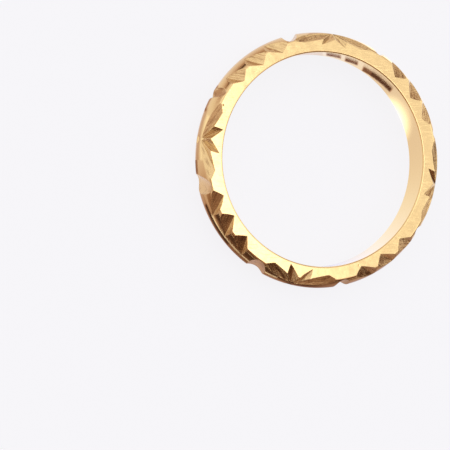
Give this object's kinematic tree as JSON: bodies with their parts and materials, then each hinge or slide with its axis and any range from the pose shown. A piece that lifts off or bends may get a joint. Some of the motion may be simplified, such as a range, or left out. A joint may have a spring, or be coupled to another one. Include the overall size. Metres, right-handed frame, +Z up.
{
  "type": "stackable ring",
  "caption": "Domed gold finger band with a diamond-cut pattern of darts and stars round its outside and flat sides for stacking.",
  "frame": {"origin": "on the floor under the middle of the finger hole, with the ring lying flat on its side", "axes": "+Z up along the axis of the finger hole, +X and +Y across the band"},
  "size_m": [0.0206, 0.0206, 0.0029],
  "materials": {
    "gold": "polished yellow gold with fine scratches, its cuts bright and finely ribbed by the graver"
  },
  "bodies": {
    "root": {"carved_band": "gold"}
  },
  "joints": []
}
